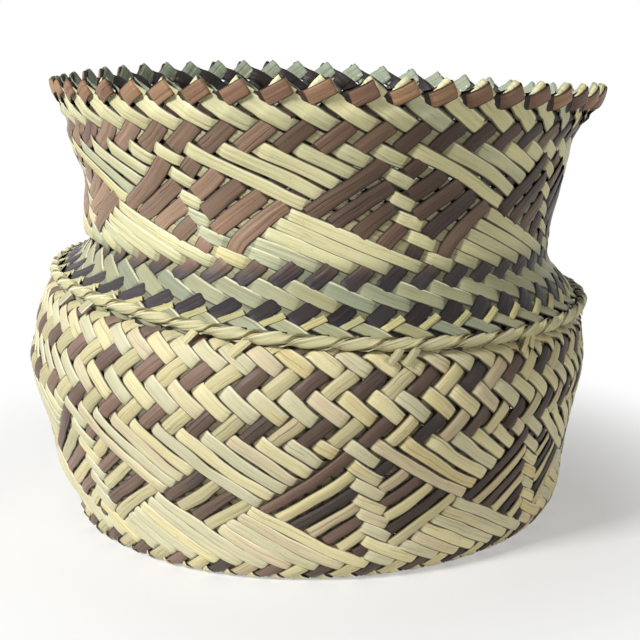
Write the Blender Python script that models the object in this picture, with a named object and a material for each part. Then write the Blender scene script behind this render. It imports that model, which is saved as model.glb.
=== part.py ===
"""A wide-mouthed basket plaited from strips of leaf, modelled as its separate layers and edges. Metres, +Z up."""

import math

import bmesh
import bpy

# Flat bottom
BASE_RADIUS = 0.1126

# Belly: how far each level stands out beyond the bottom, and how far it lies above the level before it
HEEL_REACH = 0.0054
HEEL_RISE = 0.0022
FOOT_REACH = 0.0096
FOOT_RISE = 0.0098
WAIST_REACH = 0.0127
WAIST_RISE = 0.0210
BELLY_REACH = 0.0206
BELLY_RISE = 0.0410
SHOULDER_REACH = 0.0176
SHOULDER_RISE = 0.0222

# Twisted border, at the middle of its cord
BORDER_RADIUS = 0.1273
BORDER_RISE = 0.0090
STRAND_RADIUS = 0.0015
STRAND_TWISTS = 17

# Collar: a straight neck between a flare to the border and a flare to the mouth
NECK_RADIUS = 0.1110
LOWER_FLARE = 0.0195
NECK_LENGTH = 0.0180
MOUTH_RADIUS = 0.1284
MOUTH_HEIGHT = 0.1951
FLARE_POWER = 1.6

# Folded points along the rim
TOOTH_COUNT = 50
TOOTH_FOOT = 0.0030
TOOTH_HEIGHT = 0.0056
TOOTH_LEAN = 0.0016
TOOTH_THICKNESS = 0.0016
TOOTH_PEAK_RATIO = 0.42

# Small turned-back ends above the border
TAB_COUNT = 50
TAB_THICKNESS = 0.0009
TAB_FOOT = 0.0022
TAB_HEIGHT = 0.0030

# Plaited layers, and the space left between neighbours
BASE_THICKNESS = 0.0022
WALL_THICKNESS = 0.0018
LINING_THICKNESS = 0.0016
COVER_THICKNESS = 0.0016
GAP = 0.0003

# The basket is hand-made: its border and rim slope down to +X, and its collar stands a little to +X
BORDER_TILT_ANGLE = 0.067
RIM_TILT_ANGLE = 0.0123
BELLY_SHIFT = -0.0017
RIM_SHIFT = 0.0065
SHIFT_RISE = 0.0858

SEGMENTS = 60
STRAND_STEPS = 7

BELLY_HEIGHT = HEEL_RISE + FOOT_RISE + WAIST_RISE + BELLY_RISE
BORDER_HEIGHT = BELLY_HEIGHT + SHOULDER_RISE + BORDER_RISE
CORD_RADIUS = 2 * STRAND_RADIUS + GAP
EDGE_RADIUS = BORDER_RADIUS - 0.58 * CORD_RADIUS
EDGE_HEIGHT = BORDER_HEIGHT + 0.96 * CORD_RADIUS
NECK_LOW = EDGE_HEIGHT + LOWER_FLARE
NECK_HIGH = NECK_LOW + NECK_LENGTH
UPPER_FLARE = MOUTH_HEIGHT - NECK_HIGH
LINING_FOOT = EDGE_HEIGHT + 0.5 * LOWER_FLARE


def clear_scene():
    for obj in list(bpy.data.objects):
        bpy.data.objects.remove(obj, do_unlink=True)


def ease(t):
    t = min(max(t, 0.0), 1.0)
    return t * t * (3 - 2 * t)


def slope_at(z):
    """How far a level ring at this height slopes down towards +X."""
    if z < BORDER_HEIGHT:
        return BORDER_TILT_ANGLE * ease(z / BORDER_HEIGHT)
    above = ease((z - BORDER_HEIGHT) / (MOUTH_HEIGHT - BORDER_HEIGHT))
    return BORDER_TILT_ANGLE + (RIM_TILT_ANGLE - BORDER_TILT_ANGLE) * above


def shift_at(z):
    """How far the ring at this height stands off to +X."""
    if z < BELLY_HEIGHT:
        return BELLY_SHIFT * ease(z / BELLY_HEIGHT)
    return BELLY_SHIFT + (RIM_SHIFT - BELLY_SHIFT) * ease((z - BELLY_HEIGHT) / SHIFT_RISE)


def lean(x, y, z):
    return (x + shift_at(z), y, z - slope_at(z) * x)


def smooth_curve(points, per_span):
    """A smooth curve through (radius, height) points."""
    ends = [points[0]] + list(points) + [points[-1]]
    curve = []
    for a, b, c, d in zip(ends, ends[1:], ends[2:], ends[3:]):
        for k in range(per_span):
            t = k / per_span
            curve.append(
                tuple(
                    0.5 * (2 * q + (r - p) * t + (2 * p - 5 * q + 4 * r - s) * t**2 + (3 * q - p - 3 * r + s) * t**3)
                    for p, q, r, s in zip(a, b, c, d)
                )
            )
    curve.append(tuple(points[-1]))
    return curve


def offset_curve(curve, distance):
    """The curve moved to its left, which is inwards for one that climbs."""
    moved = []
    for k, (r, z) in enumerate(curve):
        before = curve[max(k - 1, 0)]
        after = curve[min(k + 1, len(curve) - 1)]
        dr = after[0] - before[0]
        dz = after[1] - before[1]
        length = math.hypot(dr, dz)
        moved.append((r - dz / length * distance, z + dr / length * distance))
    return moved


def cover_radius(z):
    """Outer radius of the collar: a straight neck that flares to the border below and to the mouth above."""
    if z < NECK_LOW:
        return NECK_RADIUS + (EDGE_RADIUS - NECK_RADIUS) * ((NECK_LOW - z) / LOWER_FLARE) ** FLARE_POWER
    if z > NECK_HIGH:
        return NECK_RADIUS + (MOUTH_RADIUS - NECK_RADIUS) * ((z - NECK_HIGH) / UPPER_FLARE) ** FLARE_POWER
    return NECK_RADIUS


def spread(low, high, count):
    return [low + (high - low) * k / (count - 1) for k in range(count)]


def material(name, colour, roughness):
    made = bpy.data.materials.new(name)
    made.use_nodes = True
    shader = made.node_tree.nodes["Principled BSDF"]
    shader.inputs["Base Color"].default_value = (*colour, 1)
    shader.inputs["Roughness"].default_value = roughness
    shader.inputs["Metallic"].default_value = 0.0
    return made


def add_object(name, data, finish):
    obj = bpy.data.objects.new(name, data)
    bpy.context.scene.collection.objects.link(obj)
    data.materials.append(finish)
    return obj


def spun(outline, steps):
    """A closed outline of (radius, height) points turned once round Z."""
    bm = bmesh.new()
    loop = [bm.verts.new((r, 0, z)) for r, z in outline]
    edges = [bm.edges.new((a, b)) for a, b in zip(loop, loop[1:] + loop[:1])]
    bmesh.ops.spin(
        bm,
        geom=loop + edges,
        cent=(0, 0, 0),
        axis=(0, 0, 1),
        angle=2 * math.pi,
        steps=steps,
        use_merge=True,
    )
    bmesh.ops.remove_doubles(bm, verts=bm.verts, dist=1e-6)
    bmesh.ops.recalc_face_normals(bm, faces=bm.faces)
    return bm


def finished(name, bm, finish):
    for vert in bm.verts:
        vert.co = lean(*vert.co)
    mesh = bpy.data.meshes.new(name)
    bm.to_mesh(mesh)
    bm.free()
    mesh.shade_smooth()
    mesh.set_sharp_from_angle(angle=math.radians(40))
    return add_object(name, mesh, finish)


# Flat plaited bottom
def base_mat(finish):
    bm = bmesh.new()
    bmesh.ops.create_cone(
        bm,
        cap_ends=True,
        segments=SEGMENTS,
        radius1=BASE_RADIUS,
        radius2=BASE_RADIUS,
        depth=BASE_THICKNESS,
    )
    bmesh.ops.translate(bm, verts=bm.verts, vec=(0, 0, BASE_THICKNESS / 2))
    return finished("base_mat", bm, finish)


# Belly wall, from the heel to the foot of the neck
def body_wall(finish):
    start = BASE_RADIUS + GAP
    clear = CORD_RADIUS + 3 * GAP
    under = (BORDER_RADIUS - 0.7 * clear, BORDER_HEIGHT - 0.8 * clear)
    throat = lining_radius(NECK_LOW)
    top = (throat, LINING_FOOT - GAP)
    low = (throat + 0.35 * (under[0] - throat), under[1] + 0.52 * (top[1] - under[1]))
    points = [(start + 0.0012, 0.0)]
    height = 0.0
    for reach, rise in (
        (HEEL_REACH, HEEL_RISE),
        (FOOT_REACH, FOOT_RISE),
        (WAIST_REACH, WAIST_RISE),
        (BELLY_REACH, BELLY_RISE),
        (SHOULDER_REACH, SHOULDER_RISE),
    ):
        height += rise
        points.append((BASE_RADIUS + reach, height))
    curve = [(start, 0.0)] + smooth_curve(points + [under, low, top], 2)
    inner = offset_curve(curve, WALL_THICKNESS)
    inner[0] = (start, WALL_THICKNESS)
    inner[-1] = (throat - WALL_THICKNESS, top[1])
    return finished("body_wall", spun(curve + inner[::-1], SEGMENTS), finish)


# Inner layer of the neck, standing on the belly wall
def lining_radius(z):
    return cover_radius(z) - COVER_THICKNESS - GAP


def neck_lining(finish):
    heights = [LINING_FOOT, NECK_LOW, NECK_HIGH] + spread(NECK_HIGH, MOUTH_HEIGHT, 6)[1:]
    outer = [(lining_radius(max(z, NECK_LOW)), z) for z in heights]
    inner = [(r - LINING_THICKNESS, z) for r, z in outer]
    return finished("neck_lining", spun(outer + inner[::-1], SEGMENTS), finish)


# Outer layer, folded down over the neck and spread over the shoulder
def cover_curve():
    heights = spread(EDGE_HEIGHT, NECK_LOW, 6) + [NECK_HIGH] + spread(NECK_HIGH, MOUTH_HEIGHT, 6)[1:]
    return [(cover_radius(z), z) for z in heights]


def neck_cover(finish):
    curve = cover_curve()
    inner = offset_curve(curve, COVER_THICKNESS)
    for k, (r, z) in enumerate(curve):
        if z >= NECK_LOW:
            inner[k] = (r - COVER_THICKNESS, z)
    return finished("neck_cover", spun(curve + inner[::-1], SEGMENTS), finish)


# Row of points where the strips turn over the rim
def rim_fold(finish):
    foot_z = MOUTH_HEIGHT + GAP
    valley_z = foot_z + TOOTH_FOOT
    outer_r = MOUTH_RADIUS
    inner_r = lining_radius(MOUTH_HEIGHT) - LINING_THICKNESS
    mid_r = outer_r + TOOTH_LEAN * 0.5
    top_r = outer_r + TOOTH_LEAN
    outline = [
        (inner_r, foot_z),
        (outer_r, foot_z),
        (mid_r, valley_z - TOOTH_FOOT * 0.4),
        (top_r, valley_z),
        (top_r - TOOTH_THICKNESS, valley_z),
        (mid_r - TOOTH_THICKNESS * 1.3, valley_z - TOOTH_FOOT * 0.4),
    ]
    bm = spun(outline, 3 * TOOTH_COUNT)
    for vert in bm.verts:
        place = math.atan2(vert.co.y, vert.co.x) / (2 * math.pi) * TOOTH_COUNT % 1.0
        column = round(3 * place) % 3
        if vert.co.z > valley_z - 1e-6:
            rise = (0.0, 1.0, 0.52)[column] * TOOTH_HEIGHT
            vert.co.z += rise
            radius = math.hypot(vert.co.x, vert.co.y)
            grow = 1 + rise / TOOTH_HEIGHT * TOOTH_LEAN * 0.5 / radius
            vert.co.x *= grow
            vert.co.y *= grow
        turn = (0.0, TOOTH_PEAK_RATIO - 1 / 3, 0.05)[column] * 2 * math.pi / TOOTH_COUNT
        x, y = vert.co.x, vert.co.y
        vert.co.x = x * math.cos(turn) - y * math.sin(turn)
        vert.co.y = x * math.sin(turn) + y * math.cos(turn)
    return finished("rim_fold", bm, finish)


# Course of small turned-back strip ends that lies on the cover just above the border
def tab_course(finish):
    heights = [EDGE_HEIGHT + 2 * GAP, EDGE_HEIGHT + 2 * GAP + TAB_FOOT]
    curve = [(cover_radius(z), z) for z in heights]
    fine = cover_curve()[:3]
    steep = math.hypot(fine[2][0] - fine[0][0], fine[2][1] - fine[0][1]) / (fine[2][1] - fine[0][1])
    inner = [(r + 2 * GAP * steep, z) for r, z in curve]
    outer = [(r + TAB_THICKNESS * steep, z) for r, z in inner]
    bm = spun([inner[0], outer[0], outer[1], inner[1]], 3 * TAB_COUNT)
    for vert in bm.verts:
        place = math.atan2(vert.co.y, vert.co.x) / (2 * math.pi) * TAB_COUNT % 1.0
        column = round(3 * place) % 3
        if vert.co.z > heights[1] - 1e-6 and column < 2:
            radius = math.hypot(vert.co.x, vert.co.y)
            rise = TAB_HEIGHT
            grow = 1 + (cover_radius(vert.co.z + rise) - cover_radius(vert.co.z)) / radius
            vert.co.x *= grow
            vert.co.y *= grow
            vert.co.z += rise
    return finished("tab_course", bm, finish)


# Border: two strands of leaf twisted round each other
def border_strand(name, phase, finish):
    curve = bpy.data.curves.new(name, "CURVE")
    curve.dimensions = "3D"
    curve.bevel_depth = STRAND_RADIUS
    curve.bevel_resolution = 1
    steps = STRAND_TWISTS * STRAND_STEPS
    spline = curve.splines.new("POLY")
    spline.points.add(steps - 1)
    spline.use_cyclic_u = True
    swing = STRAND_RADIUS + GAP * 0.75
    for k, point in enumerate(spline.points):
        angle = 2 * math.pi * k / steps
        turn = STRAND_TWISTS * angle + phase
        radius = BORDER_RADIUS + swing * math.cos(turn)
        height = BORDER_HEIGHT + swing * math.sin(turn)
        point.co = (*lean(radius * math.cos(angle), radius * math.sin(angle), height), 1)
    return add_object(name, curve, finish)


def build():
    clear_scene()
    natural = material("natural_leaf", (0.72, 0.68, 0.42), 0.55)
    mixed = material("mixed_leaf", (0.55, 0.47, 0.31), 0.58)
    shaded = material("green_leaf", (0.50, 0.52, 0.36), 0.6)
    dark = material("dark_leaf", (0.20, 0.12, 0.10), 0.5)
    straw = material("straw_leaf", (0.76, 0.69, 0.40), 0.5)
    base_mat(shaded)
    body_wall(natural)
    neck_lining(shaded)
    neck_cover(mixed)
    rim_fold(dark)
    tab_course(natural)
    border_strand("border_strand_a", 0.0, straw)
    border_strand("border_strand_b", math.pi, straw)


build()
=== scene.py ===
"""A wide-mouthed basket plaited from strips of leaf.

Its collar is folded outwards over a rim of small points, and a twisted border lies round its shoulder.
"""

import math

import bpy
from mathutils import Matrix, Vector


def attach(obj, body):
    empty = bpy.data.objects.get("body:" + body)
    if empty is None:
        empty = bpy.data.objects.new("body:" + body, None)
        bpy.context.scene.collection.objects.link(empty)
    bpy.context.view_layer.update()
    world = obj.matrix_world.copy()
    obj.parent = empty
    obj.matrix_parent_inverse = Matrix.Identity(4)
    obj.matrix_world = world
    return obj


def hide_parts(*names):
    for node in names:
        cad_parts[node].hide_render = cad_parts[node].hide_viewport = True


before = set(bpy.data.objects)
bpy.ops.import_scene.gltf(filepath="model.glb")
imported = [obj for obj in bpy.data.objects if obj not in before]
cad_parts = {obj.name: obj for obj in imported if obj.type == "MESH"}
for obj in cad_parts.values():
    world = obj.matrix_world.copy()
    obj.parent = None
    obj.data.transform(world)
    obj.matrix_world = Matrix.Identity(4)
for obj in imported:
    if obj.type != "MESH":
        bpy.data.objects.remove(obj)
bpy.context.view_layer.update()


# Bottom: a flat mat of pale and brown leaf strips in a two-over, two-under twill. Its strips are split
# from dried leaves, about 6.5 mm wide, and turn up at the rim of the mat into the belly wall.
BASE_RADIUS = 0.1126
MAT_STRIPS = 34
MAT_TURN = 0.42


class Value:
    """A socket of a node tree. Arithmetic on values adds the Math nodes that work it out."""

    def __init__(self, nodes, socket):
        self.nodes = nodes
        self.socket = socket

    def __add__(self, other):
        return self.nodes.math("ADD", self, other)

    __radd__ = __add__

    def __sub__(self, other):
        return self.nodes.math("SUBTRACT", self, other)

    def __rsub__(self, other):
        return self.nodes.math("SUBTRACT", other, self)

    def __mul__(self, other):
        return self.nodes.math("MULTIPLY", self, other)

    __rmul__ = __mul__

    def __truediv__(self, other):
        return self.nodes.math("DIVIDE", self, other)

    def __mod__(self, other):
        return self.nodes.math("FLOORED_MODULO", self, other)

    def __lt__(self, other):
        return self.nodes.math("LESS_THAN", self, other)

    def __gt__(self, other):
        return self.nodes.math("GREATER_THAN", self, other)

    def __or__(self, other):
        """The larger of two values."""
        return self.nodes.math("MAXIMUM", self, other)


class Nodes:
    """The nodes of one tree, of a shape or of a material."""

    def __init__(self, tree):
        self.tree = tree

    def add(self, kind, settings=None, values=None):
        """Adds a node with its settings and the values or links of its sockets. Returns its outputs."""
        node = self.tree.nodes.new(kind)
        for name, setting in (settings or {}).items():
            setattr(node, name, setting)
        for name, value in (values or {}).items():
            if isinstance(name, int):
                place = node.inputs[name]
            else:
                place = next(socket for socket in node.inputs if socket.enabled and socket.name == name)
            if isinstance(value, Value):
                self.tree.links.new(value.socket, place)
            else:
                place.default_value = value
        outputs = {"node": node}
        for socket in node.outputs:
            if socket.enabled:
                outputs.setdefault(socket.name, Value(self, socket))
        return outputs

    def math(self, operation, *values):
        return self.add("ShaderNodeMath", {"operation": operation}, dict(enumerate(values)))["Value"]

    def vector(self, x, y, z):
        return self.add("ShaderNodeCombineXYZ", values={0: x, 1: y, 2: z})["Vector"]

    def along(self, start, direction, amount):
        """A point or direction with an amount of another one added to it."""
        if isinstance(amount, Value):
            amounts = self.vector(amount, amount, amount)
        else:
            amounts = (amount, amount, amount)
        values = {0: direction, 1: amounts, 2: start}
        return self.add("ShaderNodeVectorMath", {"operation": "MULTIPLY_ADD"}, values)["Vector"]

    def unit(self, vector):
        return self.add("ShaderNodeVectorMath", {"operation": "NORMALIZE"}, {0: vector})["Vector"]

    def parts(self, vector):
        split = self.add("ShaderNodeSeparateXYZ", values={0: vector})
        return split["X"], split["Y"], split["Z"]

    def ramp(self, value, low, high, start=0.0, end=1.0, kind="SMOOTHSTEP"):
        """The value carried from the range low..high to start..end, and level beyond it."""
        values = {"Value": value, "From Min": low, "From Max": high, "To Min": start, "To Max": end}
        return self.add("ShaderNodeMapRange", {"interpolation_type": kind}, values)["Result"]

    def line(self, value, points):
        """A smooth line through (place, height) points."""
        low, high = points[0][0], points[-1][0]
        heights = [height for place, height in points]
        bottom, top = min(heights), max(heights)
        made = self.add("ShaderNodeFloatCurve", values={"Value": self.ramp(value, low, high, kind="LINEAR")})
        knots = made["node"].mapping.curves[0].points
        while len(knots) < len(points):
            knots.new(0.5, 0.5)
        for knot, (place, height) in zip(knots, points):
            knot.location = ((place - low) / (high - low), (height - bottom) / (top - bottom))
        made["node"].mapping.update()
        return made["Value"] * (top - bottom) + bottom

    def noise(self, vector, scale, detail=2.0, roughness=0.5):
        values = {"Vector": vector, "Scale": scale, "Detail": detail, "Roughness": roughness}
        return self.add("ShaderNodeTexNoise", values=values)["Fac"]

    def chance(self, value):
        """A number from 0 to 1 that looks random, and is the same for the same value."""
        return self.add("ShaderNodeTexWhiteNoise", {"noise_dimensions": "1D"}, {"W": value})["Value"]

    def mix(self, factor, first, second, blend="MIX"):
        values = {0: factor, 6: first, 7: second}
        node = self.add("ShaderNodeMix", {"data_type": "RGBA", "blend_type": blend}, values)["node"]
        return Value(self, node.outputs[2])


def strip_tree(name, path, sizes, corners=12):
    """A tree that lays strips along their paths, each a thin closed solid with a raised middle.

    The path gives the place, the direction outwards, the width and the lift at each point of a strip.
    The leaf attribute holds the length along the strip, its number and its lift. The section attribute
    holds where a corner lies, from one side of the strip to the other and from its back to its face.
    """
    tree = bpy.data.node_groups.new(name, "GeometryNodeTree")
    tree.interface.new_socket("Geometry", in_out="OUTPUT", socket_type="NodeSocketGeometry")
    kinds = {"Strips": "Int", "Points": "Int", "Guide": "Object", "Material": "Material"}
    for size in ("Strips", "Points", "Guide", "Material", "Width", "Thickness", "Crown", "Tilt", *sizes):
        tree.interface.new_socket(size, in_out="INPUT", socket_type="NodeSocket" + kinds.get(size, "Float"))
    nodes = Nodes(tree)
    given = nodes.add("NodeGroupInput")
    line = nodes.add("GeometryNodeCurvePrimitiveLine")["Curve"]
    line = nodes.add("GeometryNodeResampleCurve", values={"Curve": line, "Count": given["Points"]})["Curve"]
    values = {"Geometry": line, "Amount": given["Strips"]}
    strips = nodes.add("GeometryNodeDuplicateElements", {"domain": "SPLINE"}, values)
    strip = strips["Duplicate Index"]
    spline = nodes.add("GeometryNodeSplineParameter")
    place, normal, width, lift = path(nodes, given, strip, spline["Index"] / (given["Points"] - 1))
    values = {"Geometry": strips["Geometry"], "Position": place}
    course = nodes.add("GeometryNodeSetPosition", values=values)["Geometry"]
    values = {"Curve": course, "Normal": normal}
    course = nodes.add("GeometryNodeSetCurveNormal", {"mode": "FREE"}, values)["Curve"]
    values = {"Geometry": course, "Name": "leaf", "Value": nodes.vector(spline["Length"], strip, lift)}
    course = nodes.add("GeometryNodeStoreNamedAttribute", {"data_type": "FLOAT_VECTOR"}, values)["Geometry"]
    ring = nodes.add("GeometryNodeCurvePrimitiveCircle", values={"Resolution": corners})["Curve"]
    turn = nodes.add("GeometryNodeInputIndex")["Index"] * (2 * math.pi / corners)
    across = nodes.math("COSINE", turn)
    above = nodes.math("SINE", turn)
    bulge = (1 - across * across) * given["Crown"]
    upper = bulge + given["Thickness"] * 0.5
    lower = bulge * 0.6 - given["Thickness"] * 0.5
    middle = (upper + lower) * 0.5
    height = middle + (upper - lower) * 0.5 * nodes.ramp(above, -0.45, 0.45, -1, 1, "LINEAR")
    height = height + across * given["Tilt"]
    values = {"Geometry": ring, "Name": "section", "Value": nodes.vector(across, above, 0.0)}
    ring = nodes.add("GeometryNodeStoreNamedAttribute", {"data_type": "FLOAT_VECTOR"}, values)["Geometry"]
    values = {"Geometry": ring, "Position": nodes.vector(height, across * given["Width"] * 0.5, 0.0)}
    ring = nodes.add("GeometryNodeSetPosition", values=values)["Geometry"]
    values = {"Curve": course, "Profile Curve": ring, "Scale": width, "Fill Caps": True}
    solid = nodes.add("GeometryNodeCurveToMesh", values=values)["Mesh"]
    solid = nodes.add("GeometryNodeRealizeInstances", values={"Geometry": solid})["Geometry"]
    values = {"Geometry": solid, "Material": given["Material"]}
    solid = nodes.add("GeometryNodeSetMaterial", values=values)["Geometry"]
    nodes.add("NodeGroupOutput", values={"Geometry": solid})
    return tree


def laid(name, tree, material, values):
    """The strips that the tree lays from these sizes, as one plain mesh."""
    start = bpy.data.objects.new(name + "_start", bpy.data.meshes.new(name + "_start"))
    bpy.context.scene.collection.objects.link(start)
    modifier = start.modifiers.new("Strips", "NODES")
    modifier.node_group = tree
    for item in tree.interface.items_tree:
        if item.in_out == "INPUT":
            modifier[item.identifier] = {"Tilt": 0.0, "Material": material, **values}.get(item.name)
    mesh = bpy.data.meshes.new_from_object(start.evaluated_get(bpy.context.evaluated_depsgraph_get()))
    mesh.name = name
    bpy.data.objects.remove(start, do_unlink=True)
    mesh.shade_smooth()
    mesh.set_sharp_from_angle(angle=math.radians(50))
    piece = bpy.data.objects.new(name, mesh)
    bpy.context.scene.collection.objects.link(piece)
    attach(piece, "root")
    return piece


def tone(red, green, blue):
    """The colour of a paint sample, from its 0 to 255 values."""
    return (*[(part / 255) ** 2.2 for part in (red, green, blue)], 1.0)


# The heights over which painted shade sets in at the foot of the collar, and how far to the left and to the
# right brown leaf goes from its lit colour to a painted shade.
FOOT_SHADE_FROM, FOOT_SHADE_TO = 0.136, 0.124
LIT_LEFT, DARK_RIGHT = -0.07, 0.08


def leaf(
    name,
    colours,
    streak,
    grain=0.5,
    shade=0.9,
    edge_highlight=0.0,
    edge_shade=0.9,
    right_shade=0.0,
    foot=None,
    back=0.0,
    inner=None,
):
    """Dried leaf: each strip takes its own mix of the colours, with fibres along it, soft folds and creases.

    Grain is the strength of the fibres, which have the streak colour. Shade is the strength of a painted
    shade where the leaf passes under another strip, stronger on the right of the basket. Painted shade also
    makes a dark line along both sides of a strip, wider on the right, and a painted highlight makes a pale
    line along one side.
    Brown leaf gets a painted shade that darkens it towards the right of the basket, by the given amount.
    Strips can take a painted shade at the foot of the collar, in the hollow of the lower neck, and a painted
    shade on their backs. Where a fold of the rim lies inside the mouth, the leaf turns to the inner colour, a
    darker painted shade of the inside.
    """
    material = bpy.data.materials.new(name)
    material.use_nodes = True
    material.node_tree.nodes.clear()
    nodes = Nodes(material.node_tree)
    along, strip, lift = nodes.parts(nodes.add("ShaderNodeAttribute", {"attribute_name": "leaf"})["Vector"])
    section = nodes.add("ShaderNodeAttribute", {"attribute_name": "section"})["Vector"]
    across, above, _ = nodes.parts(section)
    where = nodes.add("ShaderNodeTexCoord")["Object"]
    right, _, height = nodes.parts(where)

    # Patches of colour, fibres and folds are drawn out along the strip. A strip's number gives it its own.
    own = nodes.chance(strip * 1.37 + 0.5)
    other = nodes.chance(strip * 3.71 + 9.5)
    patch = nodes.noise(nodes.vector(along * 26, strip * 5.3, across * 0.4), 1.0, 3.0, 0.6)
    fibre = nodes.noise(nodes.vector(along * 30, strip * 7.7, across * 5), 1.0, 4.0, 0.7)
    fine = nodes.noise(nodes.vector(along * 60, strip * 3.1, across * 26), 1.0, 2.0, 0.7)
    fold = nodes.noise(nodes.vector(along * 14, strip * 11.3, across * 1.6), 1.0, 1.0, 0.5)
    speckle = nodes.noise(where, 620.0, 3.0, 0.6)
    wander = nodes.noise(nodes.vector(along * 70, strip * 2.9, 0.0), 1.0, 1.0) - 0.5
    off_crease = nodes.math("ABSOLUTE", across - wander * 0.9 - own + 0.5)
    crease = nodes.ramp(off_crease, 0.1, 0.03) * nodes.ramp(patch, 0.5, 0.6)

    # Two main colours, and two that only some strips take.
    colour = nodes.mix(nodes.ramp(own + (patch - 0.5) * 0.9, 0.2, 0.75), colours[0], colours[1])
    colour = nodes.mix(nodes.ramp(other + (patch - 0.5) * 0.6, 0.76, 0.95), colour, colours[2])
    colour = nodes.mix(nodes.ramp(other - (patch - 0.5) * 0.6, 0.16, 0.02), colour, colours[3])
    # Painted shade: brown leaf turns darker towards the shaded right side of the basket.
    if right_shade:
        shaded_brown = nodes.mix(1.0, colour, tone(68, 48, 35), "MULTIPLY")
        share = nodes.ramp(right, LIT_LEFT, DARK_RIGHT, 0.0, right_shade) * (own * 0.4 + 0.7)
        colour = nodes.mix(share, colour, shaded_brown)
    # Painted shade at the foot of the collar, in the hollow of the lower neck.
    if foot:
        foot_shaded = nodes.mix(1.0, colour, foot, "MULTIPLY")
        colour = nodes.mix(nodes.ramp(height, FOOT_SHADE_FROM, FOOT_SHADE_TO), colour, foot_shaded)
    # Painted shade inside the mouth: where a fold lies inside, the leaf takes the darker inner colour.
    if inner:
        colour = nodes.mix(nodes.ramp(lift, 1.0, 1.8), colour, inner)

    # Dark fibres, specks and creases, a painted highlight along one side, and painted shade along the edges
    # and in the low places where a strip passes under another.
    colour = nodes.mix(nodes.ramp(fibre, 0.48, 0.72, 0.0, grain), colour, streak)
    colour = nodes.mix(nodes.ramp(fine, 0.5, 0.8, 0.0, grain * 0.7), colour, streak)
    colour = nodes.mix(nodes.ramp(speckle, 0.62, 0.72, 0.0, 0.3) | crease * 0.35, colour, streak)
    # Painted highlight: a pale line along one side of the strip.
    if edge_highlight:
        split = nodes.ramp(across, -0.6, -0.72) * nodes.ramp(fold, 0.3, 0.6, 0.0, edge_highlight)
        colour = nodes.mix(split, colour, tone(250, 244, 214))
    # Painted shade: the dark lines along the sides widen towards the right of the basket.
    right_edge_shade = nodes.ramp(right, -0.02, 0.09, 0.06, 0.17)
    edge = nodes.ramp(across * across + right_edge_shade, 0.76, 0.94, 0.0, edge_shade)
    # Painted shade on the back of the strip.
    edge = edge | nodes.ramp(above, 0.3, -0.3, 0.0, back)
    # Painted shade where the strip dives under its neighbour, stronger to the right of the basket. The sides,
    # backs and low places all mix in a dark brown as painted shade.
    low = nodes.ramp(lift, 0.2, -0.55) * nodes.ramp(right, -0.04, 0.08, shade, min(shade + 0.3, 0.95))
    colour = nodes.mix(edge | low, colour, nodes.mix(0.93, colour, tone(56, 38, 26), "MULTIPLY"))

    relief = fibre * (grain * 0.7) + fine * 0.12 + fold * 1.2 + crease * 0.3
    values = {"Strength": 0.8, "Distance": 0.0009, "Height": relief}
    bump = nodes.add("ShaderNodeBump", values=values)["Normal"]
    rough = nodes.ramp(fibre + patch, 0.7, 1.4, 0.38, 0.62)
    values = {"Base Color": colour, "Roughness": rough, "Normal": bump, "Specular IOR Level": 0.28}
    shader = nodes.add("ShaderNodeBsdfPrincipled", values=values)["BSDF"]
    nodes.add("ShaderNodeOutputMaterial", values={"Surface": shader})
    return material


def over_under(nodes, row, lift_at, firm=0.5):
    """How far a strip stands out at this row, from -1 below its neighbour to 1 above it.

    In firm plaiting it dives late, close to its neighbour, and in loose plaiting it curves all the way.
    """
    whole = nodes.math("FLOOR", row)
    part = row - whole
    lifts = [lift_at(whole + step) for step in (-1, 0, 1, 2)]
    near = lifts[1] + (lifts[2] - lifts[1]) * nodes.ramp(part, 0.5 * firm, 1 - 0.5 * firm)
    rest = 1 - part
    soft = lifts[0] * rest * rest * rest / 6 + lifts[3] * part * part * part / 6
    soft = soft + lifts[1] * (part * part * (part * 3 - 6) + 4) / 6
    soft = soft + lifts[2] * (rest * rest * (rest * 3 - 6) + 4) / 6
    return near * (0.6 + 0.3 * firm) + soft * (0.5 - 0.3 * firm)


def twill(nodes, row, phase=0):
    """1 where the falling strip is on top in a two-over, two-under twill."""
    return (row - phase) % 4 < 1.5


def mat_path(nodes, given, strip, along):
    """A straight strip of the mat, cut to the round outline. Turned strips cross the others."""
    gap = given["Spacing"]
    offset = (strip - (given["Strips"] - 1) * 0.5) * gap
    half = nodes.math("SQRT", (given["Radius"] * given["Radius"] - offset * offset) | 1e-6)
    run = (along - 0.5) * 2 * half
    row = run / gap + (given["Strips"] - 1) * 0.5
    turned = given["Turned"]

    def lift_at(crossing):
        return (twill(nodes, (crossing - strip) * (1 - turned * 2), 0) * 2 - 1) * (1 - turned * 2)

    lift = over_under(nodes, row, lift_at)
    ends = nodes.ramp(nodes.math("ABSOLUTE", along - 0.5), 0.44, 0.5)
    x = run + (offset - run) * turned
    y = offset + (run - offset) * turned
    turned_x = x * math.cos(MAT_TURN) - y * math.sin(MAT_TURN)
    turned_y = x * math.sin(MAT_TURN) + y * math.cos(MAT_TURN)
    height = given["Height"] + lift * given["Lift"] + ends * 0.0002
    return nodes.vector(turned_x, turned_y, height), nodes.vector(0, 0, 1), 1.0 - ends * 0.1, lift


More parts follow.
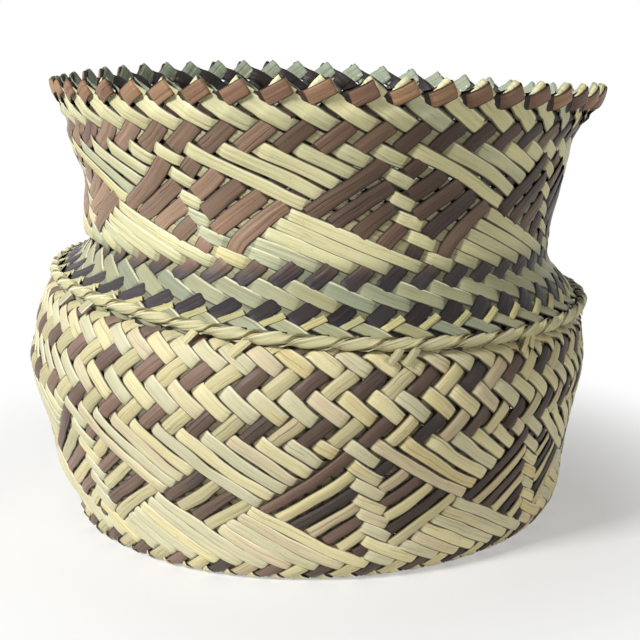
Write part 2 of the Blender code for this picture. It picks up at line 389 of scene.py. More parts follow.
mat_tree = strip_tree("mat_strips", mat_path, ("Spacing", "Radius", "Turned", "Height", "Lift"), corners=8)
mat_sizes = {
    "Strips": MAT_STRIPS,
    "Points": 110,
    "Width": 0.0064,
    "Thickness": 0.0004,
    "Crown": 0.0002,
    "Spacing": 2 * BASE_RADIUS / MAT_STRIPS,
    "Radius": BASE_RADIUS - 0.0003,
    "Height": 0.0009,
    "Lift": 0.0004,
}
mat_pale = leaf(
    "mat_leaf",
    (tone(206, 198, 146), tone(190, 190, 142), tone(198, 178, 150), tone(212, 196, 120)),
    tone(160, 150, 104),
)
mat_brown = leaf(
    "brown_mat_leaf",
    (tone(112, 84, 78), tone(88, 62, 60), tone(128, 86, 66), tone(70, 52, 58)),
    tone(64, 44, 42),
)
for name, turned, material in (("mat_strips_pale", 0.0, mat_pale), ("mat_strips_brown", 1.0, mat_brown)):
    mat = laid(name, mat_tree, material, dict(mat_sizes, Turned=turned))
    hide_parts("base_mat")


# Belly wall: one layer of 76 strips each way. The strips that fall to the right are all pale, and every
# other one of those that rise is brown. Twill rows lie above and below a band of stepped figures.
BELLY_STRIPS = 76
SHOULDER_RISE = 0.0222
BELLY_LEVELS = (
    (0.0054, 0.0022),
    (0.0096, 0.0098),
    (0.0127, 0.0210),
    (0.0206, 0.0410),
    (0.0176, SHOULDER_RISE),
)
BELLY_HEIGHT = sum(rise for reach, rise in BELLY_LEVELS[:4])
BORDER_HEIGHT = BELLY_HEIGHT + SHOULDER_RISE + 0.0090
BORDER_RADIUS = 0.1273
NECK_RADIUS = 0.1110
EDGE_RADIUS = BORDER_RADIUS - 0.0019
EDGE_HEIGHT = BORDER_HEIGHT + 0.0032
NECK_LOW = EDGE_HEIGHT + 0.0195
NECK_HIGH = NECK_LOW + 0.0180
MOUTH_RADIUS = 0.1284
MOUTH_HEIGHT = 0.1951
LAYER = 0.0019

# The basket leans: its border and its rim fall to the right by these tilts, and its levels shift sideways.
BORDER_TILT, RIM_TILT = 0.067, 0.0123
BELLY_SHIFT, RIM_SHIFT, SHIFT_RISE = -0.0017, 0.0065, 0.0858

# By height, how far its left and right side stand out from a round wall, or in from it.
LEFT_REACH = [(0, 0.0018), (0.0065, -0.0074), (0.026, 0.0006), (0.041, 0.0002), (0.062, 0.0016)]
LEFT_REACH += [(0.076, -0.0024), (0.097, -0.0038), (0.107, -0.0042), (0.118, -0.0062), (0.13, 0.0014)]
LEFT_REACH += [(0.142, 0.002), (0.16, 0.0002), (0.172, 0.0006), (0.18, -0.002)]
LEFT_REACH += [(0.187, -0.0038), (0.206, -0.002)]
RIGHT_REACH = [(0, 0.0), (0.03, -0.0008), (0.045, -0.0012), (0.08, -0.0008), (0.102, 0.0002)]
RIGHT_REACH += [(0.113, 0.0014), (0.122, -0.001), (0.14, -0.0026), (0.155, -0.0012)]
RIGHT_REACH += [(0.172, -0.0034), (0.186, -0.005), (0.196, -0.002), (0.206, 0.0)]

# Small dents all over, and the heel that stands out at the left front.
DENTS = 0.0022
HEEL_LEFT, HEEL_FRONT, HEEL_HEIGHT = 0.007, 0.001, 0.02

# The neck droops on the left, and the rim sags on the right and at the back.
DROOP, DROOP_LOW, DROOP_HIGH = 0.0045, EDGE_HEIGHT + 0.012, NECK_HIGH + 0.018
RIGHT_SAG, BACK_RIGHT_SAG, BACK_SAG, BACK_LIFT = 0.0055, 0.004, 0.0045, 0.0004


def placed(nodes, angle, radius, height):
    """A point of the basket, which leans and is uneven. Angles run from the front (-Y) to the right (+X)."""
    side = nodes.math("SINE", angle)
    front = nodes.math("COSINE", angle)
    left = nodes.math("MAXIMUM", side * -1, 0.0)
    right = side | 0.0
    uneven = nodes.noise(nodes.vector(side, front, height * 9), 1.6, 1.0)
    radius = radius + (uneven - 0.5) * DENTS
    left_reach = left * left * nodes.line(height, LEFT_REACH)
    right_reach = right * right * nodes.line(height, RIGHT_REACH)
    radius = radius + left_reach + right_reach
    heel = (left * HEEL_LEFT - front * HEEL_FRONT) * (front | 0.0)
    radius = radius + heel * nodes.ramp(height, HEEL_HEIGHT, 0.002)
    tilt = nodes.ramp(height, 0, BORDER_HEIGHT, 0, BORDER_TILT)
    tilt = tilt + nodes.ramp(height, BORDER_HEIGHT, MOUTH_HEIGHT, 0, RIM_TILT - BORDER_TILT)
    shift = nodes.ramp(height, 0, BELLY_HEIGHT, 0, BELLY_SHIFT)
    shift = shift + nodes.ramp(height, BELLY_HEIGHT, BELLY_HEIGHT + SHIFT_RISE, 0, RIM_SHIFT - BELLY_SHIFT)
    droop = left * left * nodes.ramp(height, DROOP_LOW, DROOP_HIGH) * DROOP
    back = (front * -1) | 0.0
    sag = right * right * (back * BACK_RIGHT_SAG + RIGHT_SAG) + back * (side * BACK_SAG - BACK_LIFT)
    droop = droop + nodes.ramp(height, DROOP_HIGH, MOUTH_HEIGHT + 0.006) * sag
    return nodes.vector(radius * side + shift, radius * front * -1, height - tilt * radius * side - droop)


def guide(name, points):
    """The line that the strips of a layer follow from its top to its foot, as (radius, height) points."""
    line = bpy.data.curves.new(name, "CURVE")
    line.dimensions = "3D"
    spline = line.splines.new("POLY")
    spline.points.add(len(points) - 1)
    for point, (radius, height) in zip(spline.points, points):
        point.co = (radius, 0, height, 1)
    made = bpy.data.objects.new(name, line)
    bpy.context.scene.collection.objects.link(made)
    return made


def smooth_curve(points, per_span):
    """A smooth curve through (radius, height) points."""
    ends = [points[0], *points, points[-1]]
    curve = []
    for near in zip(ends, ends[1:], ends[2:], ends[3:]):
        for k in range(per_span):
            t = k / per_span
            shares = (
                -t + 2 * t * t - t**3,
                2 - 5 * t * t + 3 * t**3,
                t + 4 * t * t - 3 * t**3,
                t**3 - t * t,
            )
            spot = [sum(share * point[axis] for share, point in zip(shares, near)) / 2 for axis in (0, 1)]
            curve.append(tuple(spot))
    return curve + [points[-1]]


def spot_on(nodes, given, net, column, row, stand, inward=False):
    """The point that stands out from a layer at a crossing, and the direction straight out of the layer.

    The net says how far strips turn round the basket by each row (skew), how far down the outline the row
    lies (drops), and how the rows turn and sag by the side of the basket.
    """
    angle = (column + nodes.line(row, net["skew"])) * given["Pitch"]
    side = nodes.math("SINE", angle)
    for by_side, by_row in net["turns"]:
        angle = angle + nodes.line(side, by_side) * nodes.line(row, by_row)
    drop = nodes.line(row, net["drops"])
    for by_side, by_row in net["sags"]:
        drop = drop + nodes.line(side, by_side) * nodes.line(row, by_row)
    outline = nodes.add("GeometryNodeObjectInfo", values={"Object": given["Guide"]})["Geometry"]
    spot = nodes.add("GeometryNodeSampleCurve", {"mode": "LENGTH"}, {"Curves": outline, "Length": drop})
    radius, _, height = nodes.parts(spot["Position"])
    outward, _, down = nodes.parts(spot["Tangent"])
    stand = stand * (-1 if inward else 1)
    place = placed(nodes, angle, radius - down * stand, height + outward * stand)
    side = nodes.math("SINE", angle)
    front = nodes.math("COSINE", angle)
    way = 1 if inward else -1
    return place, nodes.vector(down * side * way, down * front * -way, outward * -way)


def layer_path(rule, net, widths, falling, firm, loose, inward=False):
    """The path of a strip of a layer. Row 0 is at the top. The rule says where a falling strip is on top."""

    def path(nodes, given, strip, along):
        number = given["First"] + strip * given["Every"]
        row = given["From row"] + along * (given["To row"] - given["From row"])
        # More points where the strips dive between two rows.
        row = row + nodes.math("SINE", row * 2 * math.pi) * 0.1

        def column_at(crossing):
            return number if falling else number - crossing

        def lift_at(crossing):
            on_top = rule(nodes, crossing, column_at(crossing)) * 2 - 1
            return on_top if falling else on_top * -1

        lift = over_under(nodes, row, lift_at, firm)
        wander = nodes.noise(nodes.vector(number * 3.3, row * 0.35, given["Seed"]), 1.0, 1.0) - 0.5
        column = column_at(row) + wander * loose
        place, normal = spot_on(nodes, given, net, column, row, lift * given["Lift"], inward)
        width = nodes.line(row, widths) * (1 + lift * 0.05 + wander * (0.2 + loose))
        slant = nodes.noise(nodes.vector(number * 4.1, row * 0.6, given["Seed"] + 40), 1.0, 1.0) - 0.5
        return place, nodes.along(normal, (0.3, 0.2, 1.0), slant * 0.3), width, lift

    return path


def figures(count, group, rows, tall, over, centre):
    """Stepped figures of a group of strips each, between twill rows. Strips left over make a smaller one.

    The rows are the first of the band and the one after its last. A falling strip passes under for so many
    rows (tall), one row lower than the strip before, and comes over for a few along the middle (over).
    """
    first, end = rows
    whole = count // group * group

    def rule(nodes, row, column):
        spot = (centre - column) % count
        step = spot % group
        small = spot > whole - 0.5
        above = row < first - 0.5 + step + small * (group - (count - whole))
        below = row > first + tall - 0.5 + step
        middle = nodes.math("ABSOLUTE", row - step * 2 - (first + (over - 1) / 2)) + small * 99
        figure = above | below | (middle < over / 2)
        plain = twill(nodes, row, 1) * (row < first - 0.5) + twill(nodes, row, end + 2) * (row > end - 0.5)
        return plain + figure * (row > first - 0.5) * (row < end - 0.5)

    return rule


# Outline of the belly: from the mat over its levels to a place under the border, and on into the neck.
throat = NECK_RADIUS - LAYER
under = (BORDER_RADIUS - 0.0029, BORDER_HEIGHT - 0.0034)
top = (throat, EDGE_HEIGHT + 0.0094)
low = (throat + 0.35 * (under[0] - throat), under[1] + 0.52 * (top[1] - under[1]))
levels = [(BASE_RADIUS - 0.0012, 0.0018), (BASE_RADIUS + 0.0016, 0.0023)]
height = 0
for reach, rise in BELLY_LEVELS:
    height += rise
    levels.append((BASE_RADIUS + reach - 0.0008, max(height, 0.0030)))
belly_guide = guide("belly_outline", smooth_curve([*levels, under, low, top], per_span=24)[::-1])
belly_rule = figures(BELLY_STRIPS, group=8, rows=(9, 25), tall=8, over=2, centre=-5)
belly_drops = [(-4, 0.004), (0.5, 0.0236), (3.5, 0.0358), (7.5, 0.056), (9.5, 0.0658), (11.5, 0.0752)]
belly_drops += [(15.5, 0.0905), (19.5, 0.1035), (21.5, 0.1105), (25.5, 0.1225), (28.5, 0.1345)]
belly_net = {
    "skew": [(-4, -12.32), (28.5, 5.72)],
    "drops": belly_drops,
    "turns": [
        (
            [(-1, -0.04), (-0.2, -0.027), (0.15, -0.008), (0.4, 0.002), (1, 0.014)],
            [(-4, 1.0), (20, 1.0), (28.5, 0.8)],
        )
    ],
    "sags": [
        (
            [(-1, 0.0042), (-0.6, 0.0036), (-0.1, 0.002), (0.3, 0.0), (0.6, -0.0016), (1, -0.0036)],
            [(-4, 1.0), (5, 1.0), (8, 0.55), (11, 0.1), (16, -0.1), (28.5, 0.0)],
        )
    ],
}
belly_falling_widths = [(-4, 0.98), (6, 0.98), (11, 0.8), (20, 0.76), (24, 0.9), (28.5, 0.88)]
belly_rising_widths = [(-4, 0.96), (7, 0.97), (10.5, 0.84), (14, 0.8), (21, 0.8), (24, 0.95), (28.5, 0.9)]
belly_sizes = {
    "Points": 118,
    "Guide": belly_guide,
    "Width": 0.0067,
    "Thickness": 0.00036,
    "Crown": 0.0007,
    "Tilt": 0.00024,
    "Lift": 0.0006,
    "Pitch": 2 * math.pi / BELLY_STRIPS,
    "From row": -3.0,
    "To row": 28.4,
}
falling_belly_sizes = dict(belly_sizes, Strips=76, First=0.0, Every=1.0, Seed=1.0)
brown_belly_sizes = dict(belly_sizes, Strips=38, First=0.0, Every=2.0, Seed=2.0, Width=0.0061)
pale_belly_sizes = dict(belly_sizes, Strips=38, First=1.0, Every=2.0, Seed=3.0)
layer_sizes = ("First", "Every", "Pitch", "From row", "To row", "Lift", "Seed")
belly_falling_leaf = leaf(
    "belly_leaf",
    (tone(230, 220, 172), tone(210, 206, 172), tone(216, 202, 168), tone(222, 206, 152)),
    tone(158, 142, 102),
    shade=0.8,
    edge_highlight=0.6,
)
belly_pale_leaf = leaf(
    "belly_pale_leaf",
    (tone(214, 204, 158), tone(198, 190, 148), tone(216, 204, 156), tone(194, 178, 146)),
    tone(150, 134, 92),
    shade=0.75,
)
# Its darkening to the right is painted shade.
belly_brown_leaf = leaf(
    "belly_brown_leaf",
    (tone(140, 116, 101), tone(112, 93, 82), tone(144, 117, 102), tone(84, 74, 72)),
    tone(70, 56, 48),
    grain=0.35,
    right_shade=0.98,
)
falling_path = layer_path(belly_rule, belly_net, belly_falling_widths, falling=True, firm=0.7, loose=0.4)
rising_path = layer_path(belly_rule, belly_net, belly_rising_widths, falling=False, firm=0.7, loose=0.3)
falling_tree = strip_tree("belly_falling", falling_path, layer_sizes, corners=10)
rising_tree = strip_tree("belly_rising", rising_path, layer_sizes, corners=10)
for name, tree, material, sizes in (
    ("belly_falling_strips", falling_tree, belly_falling_leaf, falling_belly_sizes),
    ("belly_rising_brown_strips", rising_tree, belly_brown_leaf, brown_belly_sizes),
    ("belly_rising_pale_strips", rising_tree, belly_pale_leaf, pale_belly_sizes),
):
    piece = laid(name, tree, material, sizes)
    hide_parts("body_wall")


# Neck lining: the strips of the collar first rise from the shoulder to the rim as this inner layer.
# It has 50 strips each way, paler on the falling side and brown on the rising side, in plain twill.
COLLAR_STRIPS = 50
COLLAR_START = -0.14
NECK_FLARE = 1.6
RIM_POINTS = ((0.0018, 0.0101), (0.0012, 0.0049))
COLLAR_STEPS = 60
COVER_LIP = 0.0012


def cover_radius(height):
    """Radius of the collar's outer layer, which flares at the mouth and over the shoulder."""
    if height < NECK_LOW:
        spread = ((NECK_LOW - height) / (NECK_LOW - EDGE_HEIGHT)) ** NECK_FLARE
        return NECK_RADIUS + (EDGE_RADIUS - NECK_RADIUS) * spread
    spread = max((height - NECK_HIGH) / (MOUTH_HEIGHT - NECK_HIGH), 0) ** NECK_FLARE
    return NECK_RADIUS + (MOUTH_RADIUS - NECK_RADIUS) * spread


def collar_line(inset, foot, straight=False):
    """Outline of a layer of the collar, from the points of the rim down to its foot."""
    line = [(MOUTH_RADIUS + reach - inset, MOUTH_HEIGHT + rise) for reach, rise in RIM_POINTS]
    for k in range(COLLAR_STEPS + 1):
        height = MOUTH_HEIGHT + (foot - MOUTH_HEIGHT) * k / COLLAR_STEPS
        radius = cover_radius(max(height, NECK_LOW) if straight else height)
        line.append((min(radius, EDGE_RADIUS + COVER_LIP) - inset, height))
    return line


lining_guide = guide("lining_outline", collar_line(inset=0.0026, foot=EDGE_HEIGHT + 0.0099, straight=True))
collar_skew = [(-1, -0.35), (0.5, 0.2), (2.5, 1.24), (4.5, 2.46), (7, 4.07), (9, 5.2), (13, 7.9)]
collar_skew += [(15.5, 9.96), (17.5, 11.36), (19.5, 12.62), (21.5, 14.04), (24, 15.3)]
collar_drops = [(-1, 0.0), (0.5, 0.008), (2.5, 0.019), (4.5, 0.0295), (7, 0.042), (9, 0.051), (13, 0.0668)]
collar_drops += [(15.5, 0.0775), (17.5, 0.086), (19.5, 0.094), (21.5, 0.1015), (24, 0.1124)]
collar_falling_widths = [(-1, 1.0), (4, 1.0), (6.5, 0.78), (14.5, 0.78)]
collar_falling_widths += [(17, 0.98), (20, 0.96), (22.3, 0.88), (24, 0.9)]
collar_rising_widths = [(-1, 1.0), (4, 1.04), (7, 1.02), (14, 0.98)]
collar_rising_widths += [(17, 0.92), (19, 0.92), (21, 0.94), (24, 0.9)]
collar_turned = COLLAR_START / (2 * math.pi / COLLAR_STRIPS)
collar_net = {
    "skew": [(row, columns + collar_turned) for row, columns in collar_skew],
    "drops": collar_drops,
    "turns": [
        ([(-1, -0.014), (-0.4, -0.012), (0, 0), (1, 0)], [(-1, 0), (3, 0.2), (6, 1.3), (11, 1.2), (24, 1)]),
        ([(-1, 0), (0, 0), (0.4, 0.014), (1, 0.022)], [(-1, -1), (3, -0.9), (6, 0.9), (11, 1), (24, 1)]),
    ],
    "sags": [
        (
            [(-1, 0.0034), (-0.6, 0.003), (-0.25, 0.001), (0, 0), (1, 0)],
            [(-1, 0.2), (4, 0.35), (10, 1), (21.5, 1), (24, 0.2)],
        ),
        (
            [(-1, 0), (0, 0), (0.4, -0.0018), (0.7, -0.0034), (1, -0.0036)],
            [(-1, 0), (14, 0), (19, 1), (21.5, 1), (24, 0.4)],
        ),
    ],
}


def lining_rule(nodes, row, column):
    """Twill all over, turned so that it meets the twill of the outer layer at the rim."""
    return 1 - twill(nodes, row, 1)


collar_sizes = {
    "Strips": COLLAR_STRIPS,
    "First": 0.0,
    "Every": 1.0,
    "Points": 98,
    "Width": 0.0070,
    "Thickness": 0.00034,
    "Crown": 0.0003,
    "Tilt": 0.00012,
    "Lift": 0.00036,
    "Pitch": 2 * math.pi / COLLAR_STRIPS,
}
# The lining's colours are darker than those of the same strips on the cover, and darker still on their backs:
# painted shade inside the neck.
lining_pale = leaf(
    "lining_leaf",
    (tone(160, 174, 154), tone(172, 182, 156), tone(146, 162, 148), tone(176, 178, 142)),
    tone(112, 122, 98),
    back=0.95,
)
lining_brown = leaf(
    "lining_brown_leaf",
    (tone(44, 36, 36), tone(34, 30, 34), tone(52, 40, 36), tone(30, 26, 30)),
    tone(24, 20, 22),
    grain=0.3,
    back=0.9,
)
for name, falling, material, seed in (
    ("lining_falling_strips", True, lining_pale, 4.0),
    ("lining_rising_strips", False, lining_brown, 5.0),
):
    widths = collar_falling_widths if falling else collar_rising_widths
    path = layer_path(lining_rule, collar_net, widths, falling, firm=0.7, loose=0.16, inward=True)
    sizes = dict(collar_sizes, Guide=lining_guide, Seed=seed, Points=80, Width=0.0076)
    sizes["From row"] = -0.3
    sizes["To row"] = 18.6
    piece = laid(name, strip_tree(name, path, layer_sizes, corners=8), material, sizes)
    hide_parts("neck_lining")


# Neck cover: at the rim the same strips turn outwards and come down again over the neck and the
# shoulder as the outer layer, pale strips falling to the right and brown ones rising.
cover_guide = guide("cover_outline", collar_line(inset=0.0007, foot=EDGE_HEIGHT - 0.0036))
cover_rule = figures(COLLAR_STRIPS, group=6, rows=(5, 16), tall=6, over=1, centre=24)
# The foot colours of both cover leaves darken them as painted shade at the foot of the collar.
cover_pale = leaf(
    "cover_leaf",
    (tone(236, 230, 180), tone(222, 218, 172), tone(200, 204, 170), tone(230, 218, 160)),
    tone(170, 156, 106),
    shade=0.35,
    edge_highlight=0.7,
    foot=tone(184, 190, 196),
)
# Its darkening to the right is painted shade.
cover_brown = leaf(
    "cover_brown_leaf",
    (tone(172, 142, 119), tone(142, 118, 100), tone(168, 136, 114), tone(110, 93, 88)),
    tone(88, 68, 58),
    grain=0.3,
    right_shade=0.98,
    foot=tone(98, 110, 140),
)
for name, falling, material, seed in (
    ("cover_falling_strips", True, cover_pale, 6.0),
    ("cover_rising_strips", False, cover_brown, 7.0),
):
    widths = collar_falling_widths if falling else collar_rising_widths
    path = layer_path(cover_rule, collar_net, widths, falling, firm=0.8, loose=0.16)
    sizes = dict(collar_sizes, Guide=cover_guide, Seed=seed)
    sizes["From row"] = 0.05 if falling else 0.5
    sizes["To row"] = 23.9
    piece = laid(name, strip_tree(name, path, layer_sizes, corners=12), material, sizes)
    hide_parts("neck_cover")


# Rim: each pair of strips folds back over itself here, which leaves a row of 50 points. The brown strip
# closes the outside of a point, and the pale one shows as a thin line on its left and lies inside.
def fold_path(falling, fold_row, legs, stands, nudge=0.0, bend=0.24):
    """A strip that doubles back over the rim: its outside leg, the fold and its inside leg.

    The legs reach down by so many rows, outside and inside. The stands are how far the strip lies out from
    the layer: near the fold and at the end of the outside leg, then the same for the inside leg.
    """

    def path(nodes, given, strip, along):
        way = along * 2 - 1
        inner = way > 0
        turn = nodes.ramp(way, -bend, bend, 0, math.pi, "LINEAR")
        away = nodes.ramp(nodes.math("ABSOLUTE", way), bend, 1, kind="LINEAR")
        eased = nodes.ramp(away, 0.42, 0.6)
        wander = nodes.noise(nodes.vector(strip * 5.1, 0.4, given["Seed"]), 1.0, 1.0) - 0.5
        out = stands[0] + (stands[1] - stands[0]) * eased
        back = stands[2] + (stands[3] - stands[2]) * eased
        facing = nodes.math("COSINE", turn)
        rising = nodes.math("SINE", turn)
        stand = (out + back) * 0.5 + (out - back) * facing * 0.5
        row = fold_row + wander * 0.3 + away * (legs[0] + (legs[1] - legs[0]) * inner) - rising * 0.09

        def on_rim(row):
            column = (strip if falling else strip - row) + wander * 0.2 + nudge
            return spot_on(nodes, given, collar_net, column, row, stand)

        place, outward = on_rim(row)
        above, _ = on_rim(row - 0.06)
        up = nodes.unit(nodes.along(above, place, -1.0))
        normal = nodes.along(nodes.along((0.0, 0.0, 0.0), outward, facing), up, rising)
        # The lift rises past 1 on the inside leg, where the leaf takes its inner colour of painted shade.
        return place, normal, 1 + wander * 0.25, 0.6 - away * 0.5 + nodes.ramp(way, -0.05, 0.1) * 2

    return path


# The inner colours are painted shade for the inside of the mouth, near black for the brown leaf.
fold_brown = leaf(
    "rim_brown_leaf",
    (tone(168, 132, 102), tone(144, 111, 90), tone(192, 152, 114), tone(114, 88, 74)),
    tone(92, 68, 56),
    grain=0.3,
    right_shade=0.3,
    inner=tone(34, 28, 28),
)
fold_pale = leaf(
    "rim_pale_leaf",
    (tone(238, 230, 180), tone(228, 224, 178), tone(214, 212, 168), tone(230, 216, 156)),
    tone(164, 152, 108),
    edge_highlight=0.9,
    edge_shade=0.2,
    inner=tone(168, 180, 158),
)
pale_fold_path = fold_path(
    falling=True,
    fold_row=-0.46,
    legs=(1.0, 1.9),
    stands=(-0.0001, -0.0002, -0.0024, -0.0014),
    nudge=0.07,
)
brown_fold_path = fold_path(
    falling=False,
    fold_row=-0.34,
    legs=(1.7, 1.6),
    stands=(0.0009, -0.0008, -0.0014, -0.0028),
)
for name, width, material, path in (
    ("rim_folds_pale", 0.0080, fold_pale, pale_fold_path),
    ("rim_folds_brown", 0.0069, fold_brown, brown_fold_path),
):
    sizes = dict(collar_sizes, Guide=cover_guide, Points=31, Seed=8.0, Width=width)
    piece = laid(name, strip_tree(name, path, ("Pitch", "Seed"), corners=12), material, sizes)
    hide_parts("rim_fold")


# Tabs: at the foot of the cover the end of a narrow straw strip lies beside each brown one. Its squared
# end shows, and its other end is caught under the border.

# The row and column where a tab's squared end lies, how many rows it reaches down, and how far it stands out.
TAB_ROW = 20.95
TAB_COLUMN = -20.33
TAB_ROWS = 1.6
TAB_STAND = 0.0008


def tab_path(nodes, given, strip, along):
    """A short narrow strip with a squared end that sinks to the cover at its other end."""
    own = nodes.noise(nodes.vector(strip * 4.7, 0.2, given["Seed"]), 1.0, 1.0) - 0.5
    reach = 1 - along
    row = TAB_ROW + own * 0.4 + reach * TAB_ROWS
    column = strip + TAB_COLUMN + own * 0.1 - reach * TAB_ROWS
    stand = TAB_STAND - nodes.ramp(along, 0.35, 0.0) * TAB_STAND
    place, normal = spot_on(nodes, given, collar_net, column, row, stand)
    # The lift falls where the tab sinks under the border, which gives it painted shade there.
    return place, normal, 1 + own * 0.4, 0.6 - nodes.ramp(along, 0.4, 0.0)


tab_leaf = leaf(
    "tab_leaf",
    (tone(212, 204, 146), tone(196, 192, 140), tone(214, 200, 146), tone(186, 184, 140)),
    tone(150, 138, 90),
)
tab_sizes = {"Guide": cover_guide, "Points": 14, "Seed": 11.0, "Width": 0.0034, "Thickness": 0.0005}
tab_sizes = {**collar_sizes, **tab_sizes, "Crown": 0.0002, "Tilt": 0.0}
tab_tree = strip_tree("tabs", tab_path, ("Pitch", "Seed"), corners=10)
tabs = laid("tabs", tab_tree, tab_leaf, tab_sizes)
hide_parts("tab_course")

# All strips that follow the outlines of the layers are in place now.
for line in (belly_guide, lining_guide, cover_guide):
    bpy.data.objects.remove(line, do_unlink=True)


# Border: two plies of straw strands twisted round each other where the cover meets the belly. Each ply
# is a wide flat strand with a narrower one half under it. They rise to the right on the outside, and
# here and there a cut end sticks out below them.
BORDER_RISE = [(-1, 0.0014), (-0.75, 0.0022), (-0.4, 0.0010), (0, -0.0001), (0.4, 0.0003), (0.8, 0.0018)]
BORDER_RISE += [(1, 0.003)]

# How far a strand strays from an even twist, and how much nearer the middle its second strip lies.
STRAND_WANDER = 0.8
SWING_WANDER = 0.0006
UNDER_STRAND = 0.0003

# How far a cut end turns round the basket, falls below the border and stands out from it.
END_TURN = -0.036
END_FALL, END_FALL_MORE = 0.0044, 0.0024
END_START, END_REACH, END_REACH_MORE = 0.0012, 0.0026, 0.0008


def on_border(nodes, angle, reach, rise):
    """A point beside the middle of the border, which lies a little higher at the sides."""
    level = BORDER_HEIGHT + nodes.line(nodes.math("SINE", angle), BORDER_RISE) + rise
    return placed(nodes, angle, BORDER_RADIUS + reach, level)


def cord_path(nodes, given, strip, along):
    """A strand that winds round the middle of the border. It starts and ends at the back."""
    angle = along * 2 * math.pi + math.pi
    number = given["Seed"] * 3.1 + strip * 1.7
    side = nodes.math("SINE", angle)
    front = nodes.math("COSINE", angle)
    sway = nodes.noise(nodes.vector(side * 4, front * 4, number), 1.0, 1.0) - 0.5
    turn = angle * given["Twists"] + given["Ply"] * math.pi - strip * given["Spread"]
    turn = turn + sway * STRAND_WANDER
    swing = given["Swing"] + sway * SWING_WANDER - strip * UNDER_STRAND
    outward = nodes.math("COSINE", turn)
    upward = nodes.math("SINE", turn)
    place = on_border(nodes, angle, swing * outward, swing * upward)
    normal = nodes.vector(side * outward, front * outward * -1, upward * 0.5)
    # The lift is low where the strand turns towards the basket, which gives it painted shade there.
    return place, normal, 1 + sway * 0.5 - strip * 0.25, outward * 0.7 + 0.2


def cut_end_path(nodes, given, strip, along):
    """A short end of a border strand that sticks out below the border, less at the sides."""
    own = nodes.chance(strip * 2.3 + given["Seed"])
    other = nodes.chance(strip * 5.9 + given["Seed"])
    angle = (strip + own * 0.9) / given["Strips"] * 2 * math.pi + along * END_TURN * (0.5 + other)
    side = nodes.math("SINE", angle)
    front = nodes.math("COSINE", angle)
    shown = nodes.ramp(side * side, 0.94, 0.75, 0.2)
    fall = along * (END_FALL + other * END_FALL_MORE) * shown
    reach = END_START + along * (END_REACH + own * END_REACH_MORE) * shown
    place = on_border(nodes, angle, reach, -END_START - fall)
    return place, nodes.vector(side, front * -1, 0.12), 0.75 + own * 0.5, 0.5 - along * 0.2


straw = leaf(
    "border_straw",
    (tone(218, 208, 158), tone(206, 200, 156), tone(226, 206, 152), tone(190, 186, 150)),
    tone(150, 134, 88),
    grain=0.35,
    shade=0.5,
    edge_highlight=0.7,
    edge_shade=0.5,
)
cord_tree = strip_tree("border_strands", cord_path, ("Twists", "Ply", "Swing", "Spread", "Seed"), corners=12)
end_tree = strip_tree("border_ends", cut_end_path, ("Seed",), corners=8)
cord_sizes = {
    "Strips": 2,
    "Points": 440,
    "Width": 0.0048,
    "Thickness": 0.0006,
    "Crown": 0.0006,
    "Twists": 24.0,
    "Swing": 0.0012,
    "Spread": 0.7,
}
end_sizes = {"Strips": 11, "Points": 8, "Width": 0.0034, "Thickness": 0.0005, "Crown": 0.0002}
for name, ply in (("border_strand_a", 0.0), ("border_strand_b", 1.0)):
    strands = laid(name + "_ply", cord_tree, straw, dict(cord_sizes, Ply=ply, Seed=21.0 + ply))
    ends = laid(name + "_ends", end_tree, straw, dict(end_sizes, Seed=31.0 + ply))
    for piece in (strands, ends):
        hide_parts(name)


# Floor and backdrop: pale paper that turns white away from the basket, and a white room around it.
FLOOR_REACH = 40
corners = [(-FLOOR_REACH, -FLOOR_REACH, 0), (FLOOR_REACH, -FLOOR_REACH, 0)]
corners += [(FLOOR_REACH, FLOOR_REACH, 0), (-FLOOR_REACH, FLOOR_REACH, 0)]
ground = bpy.data.meshes.new("floor")
ground.from_pydata(corners, [], [(0, 1, 2, 3)])
floor = bpy.data.objects.new("floor", ground)
bpy.context.scene.collection.objects.link(floor)
white = bpy.data.materials.new("white_floor")
white.use_nodes = True
white.node_tree.nodes.clear()


def seen_directly(nodes):
    """1 for what is seen directly or by reflection, and 0 for the light that falls on things."""
    rays = nodes.add("ShaderNodeLightPath")
    return rays["Is Camera Ray"] | rays["Is Glossy Ray"] | rays["Is Transmission Ray"]


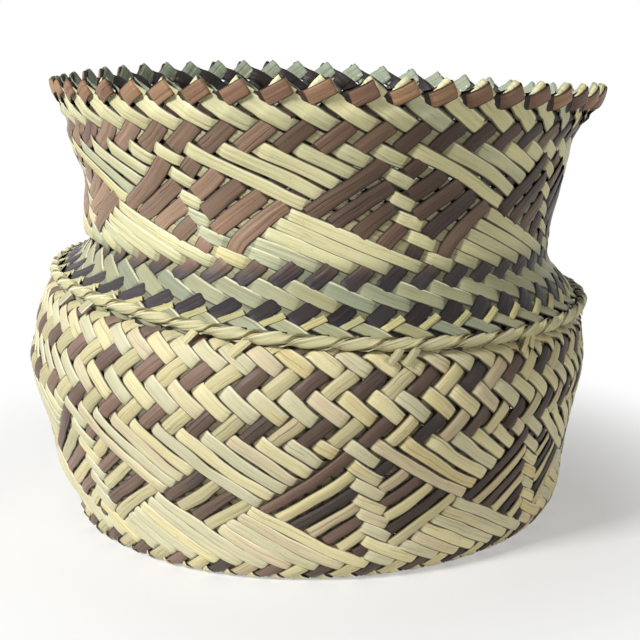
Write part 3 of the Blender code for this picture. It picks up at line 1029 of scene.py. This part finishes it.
nodes = Nodes(white.node_tree)
paper = nodes.add("ShaderNodeBsdfDiffuse", values={"Color": (0.9, 0.9, 0.89, 1)})["BSDF"]
seen = seen_directly(nodes)
values = {"Color": (1, 1, 1, 1), "Strength": 0.18 + seen * 0.82}
glow = nodes.add("ShaderNodeEmission", values=values)["Emission"]
x, y, z = nodes.parts(nodes.add("ShaderNodeTexCoord")["Object"])
distance = nodes.math("SQRT", x * x + y * y)
far = nodes.ramp(distance, 0.14, 0.34, 0.1, 1.0)
shown = nodes.ramp(distance, 0.13, 0.27, 0.4, 1.0)
values = {0: far + (shown - far) * seen, 1: paper, 2: glow}
surface = nodes.add("ShaderNodeMixShader", values=values)["Shader"]
nodes.add("ShaderNodeOutputMaterial", values={"Surface": surface})
ground.materials.append(white)

world = bpy.data.worlds.new("studio")
bpy.context.scene.world = world
world.use_nodes = True
world.node_tree.nodes.clear()
nodes = Nodes(world.node_tree)
values = {"Color": (1, 1, 1, 1), "Strength": 0.04 + seen_directly(nodes) * 0.96}
sky = nodes.add("ShaderNodeBackground", values=values)["Background"]
nodes.add("ShaderNodeOutputWorld", values={"Surface": sky})


# Studio light: a small strong lamp from the left and front, a low warm one from the right and a weak one
# from behind, all turned to the middle of the basket.
BASKET_MIDDLE = Vector((0, 0, 0.1))
for name, place, size, power, colour in (
    ("key_light", (-1.1, -0.9, 0.95), 0.34, 31.0, (1.0, 1.0, 1.0)),
    ("fill_light", (1.0, -0.95, 0.16), 0.5, 6.8, (1.0, 0.95, 0.84)),
    ("back_light", (-0.4, 0.9, 0.9), 0.8, 4.0, (1.0, 1.0, 1.0)),
):
    lamp = bpy.data.lights.new(name, "AREA")
    lamp.size = size
    lamp.energy = power
    lamp.color = colour
    light = bpy.data.objects.new(name, lamp)
    light.location = place
    light.rotation_euler = (BASKET_MIDDLE - Vector(place)).to_track_quat("-Z", "Y").to_euler()
    bpy.context.scene.collection.objects.link(light)


# Camera: close in front of the basket and a little above it, and tipped down by an angle in radians. Its
# focal length is in pixels of the picture.
CAMERA_PLACE = (0.0041, -0.5715, 0.218)
CAMERA_DIP = 0.2306
SENSOR_WIDTH = 36.0
PICTURE_WIDTH_PIXELS = 640
FOCAL_LENGTH_PIXELS = 1189
eye = bpy.data.cameras.new("camera")
eye.sensor_width = SENSOR_WIDTH
eye.lens = SENSOR_WIDTH * FOCAL_LENGTH_PIXELS / PICTURE_WIDTH_PIXELS
camera = bpy.data.objects.new("camera", eye)
camera.location = CAMERA_PLACE
camera.rotation_euler = (math.pi / 2 - CAMERA_DIP, 0, 0)
bpy.context.scene.collection.objects.link(camera)
bpy.context.scene.camera = camera
bpy.context.scene.view_settings.view_transform = "Standard"
